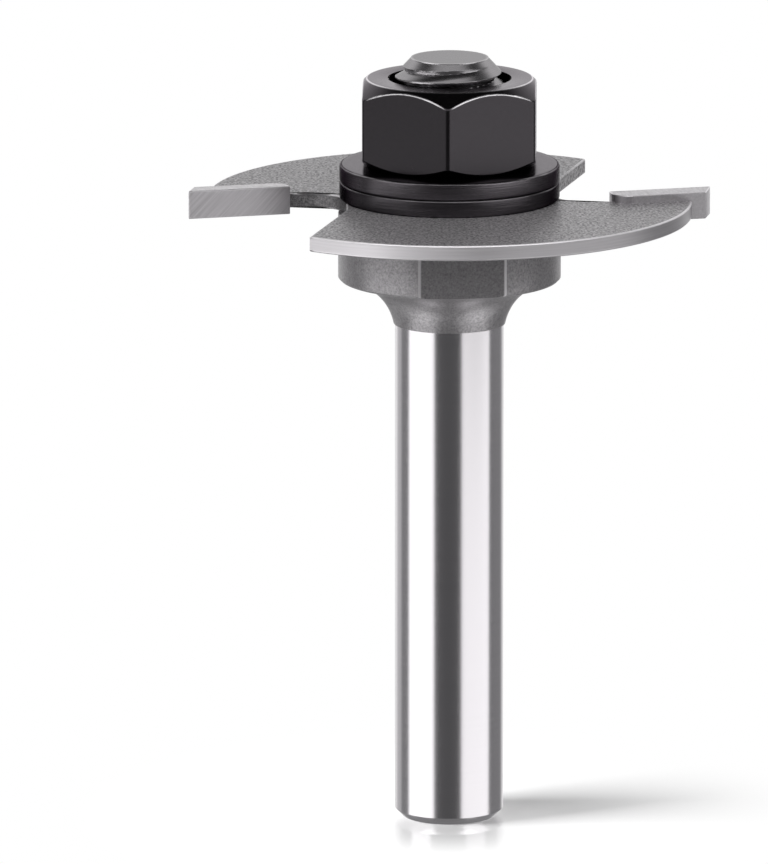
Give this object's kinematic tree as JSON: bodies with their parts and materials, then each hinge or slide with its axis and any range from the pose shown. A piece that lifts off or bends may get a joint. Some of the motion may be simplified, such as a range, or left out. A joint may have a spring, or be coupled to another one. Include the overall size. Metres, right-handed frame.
{
  "type": "t-slot router bit",
  "caption": "Slotting cutter for T-slots and grooves: a winged steel disc with brazed carbide tips, clamped between the flange of a straight-shank arbor and a hexagon nut.",
  "frame": {"origin": "centre of the shank's flat bottom end, on the arbor's axis", "axes": "+Z along the arbor from the shank towards the nut; +X towards the cutting corner of carbide_tip_b, to within its small angle; +Y to the way that this tip travels when it cuts"},
  "size_m": [0.0574, 0.0548, 0.0854],
  "materials": {
    "arbor_steel": "shank ground bright, neck and flange grit blasted to a satin grey",
    "blasted_steel": "flat faces grit blasted, rim and edges ground bright",
    "carbide": "ground, with fine slanting marks on the cutting face",
    "black_oxide": "black oxide with a satin sheen and bright worn edges"
  },
  "bodies": {
    "root": {"arbor": "arbor_steel", "slotting_disc": "blasted_steel", "carbide_tip_a": "carbide", "carbide_tip_b": "carbide", "lower_washer": "black_oxide", "upper_washer": "black_oxide", "hex_nut": "black_oxide"}
  },
  "joints": []
}
